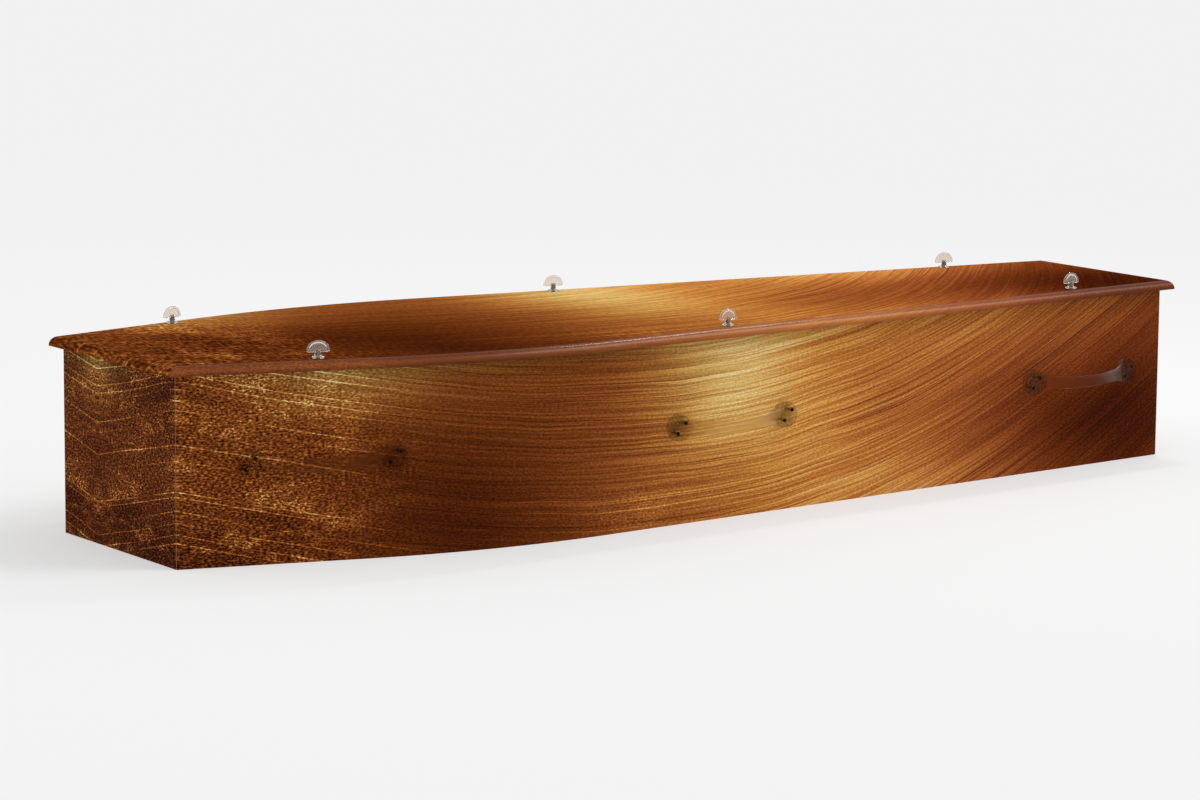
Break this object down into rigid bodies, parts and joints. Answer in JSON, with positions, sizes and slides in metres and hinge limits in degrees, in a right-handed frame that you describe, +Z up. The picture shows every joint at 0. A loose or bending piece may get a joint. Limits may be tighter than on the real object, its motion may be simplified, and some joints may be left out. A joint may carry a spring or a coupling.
{
  "type": "shoulder-shaped coffin",
  "caption": "Tapered coffin of thin boards printed to look like brushed and scratched copper, with clear carrying handles and a lift-off lid held by clear thumbscrews.",
  "frame": {"origin": "on the floor, under the middle of the lid", "axes": "+X along the length towards the foot end, +Z up, +Y to the left side board"},
  "size_m": [1.962, 0.6128, 0.3313],
  "materials": {
    "printed_side": "satin print of brushed copper on fibreboard",
    "printed_end": "satin print of dark copper on fibreboard",
    "printed_lid": "satin print of brushed copper on fibreboard",
    "raw_board": "bare fibreboard",
    "clear_handle": "clear polished acrylic",
    "frosted_knob": "translucent moulded acrylic",
    "blackened_screw": "blackened",
    "plated_screw": "zinc plated"
  },
  "bodies": {
    "root": {"base_board": "raw_board", "side_board_left": "printed_side", "side_board_right": "printed_side", "head_board": "printed_end", "foot_board": "printed_end", "lid_board": "printed_lid", "handle_left_head": "clear_handle", "handle_left_middle": "clear_handle", "handle_left_foot": "clear_handle", "handle_right_head": "clear_handle", "handle_right_middle": "clear_handle", "handle_right_foot": "clear_handle", "handle_screw_left_head_a_upper": "blackened_screw", "handle_screw_left_head_a_lower": "blackened_screw", "handle_screw_left_head_b_upper": "blackened_screw", "handle_screw_left_head_b_lower": "blackened_screw", "handle_screw_left_middle_a_upper": "blackened_screw", "handle_screw_left_middle_a_lower": "blackened_screw", "handle_screw_left_middle_b_upper": "blackened_screw", "handle_screw_left_middle_b_lower": "blackened_screw", "handle_screw_left_foot_a_upper": "blackened_screw", "handle_screw_left_foot_a_lower": "blackened_screw", "handle_screw_left_foot_b_upper": "blackened_screw", "handle_screw_left_foot_b_lower": "blackened_screw", "handle_screw_right_head_a_upper": "blackened_screw", "handle_screw_right_head_a_lower": "blackened_screw", "handle_screw_right_head_b_upper": "blackened_screw", "handle_screw_right_head_b_lower": "blackened_screw", "handle_screw_right_middle_a_upper": "blackened_screw", "handle_screw_right_middle_a_lower": "blackened_screw", "handle_screw_right_middle_b_upper": "blackened_screw", "handle_screw_right_middle_b_lower": "blackened_screw", "handle_screw_right_foot_a_upper": "blackened_screw", "handle_screw_right_foot_a_lower": "blackened_screw", "handle_screw_right_foot_b_upper": "blackened_screw", "handle_screw_right_foot_b_lower": "blackened_screw", "thumbscrew_knob_left_head": "frosted_knob", "thumbscrew_knob_left_middle": "frosted_knob", "thumbscrew_knob_left_foot": "frosted_knob", "thumbscrew_knob_right_head": "frosted_knob", "thumbscrew_knob_right_middle": "frosted_knob", "thumbscrew_knob_right_foot": "frosted_knob", "thumbscrew_shank_left_head": "plated_screw", "thumbscrew_shank_left_middle": "plated_screw", "thumbscrew_shank_left_foot": "plated_screw", "thumbscrew_shank_right_head": "plated_screw", "thumbscrew_shank_right_middle": "plated_screw", "thumbscrew_shank_right_foot": "plated_screw"}
  },
  "joints": []
}
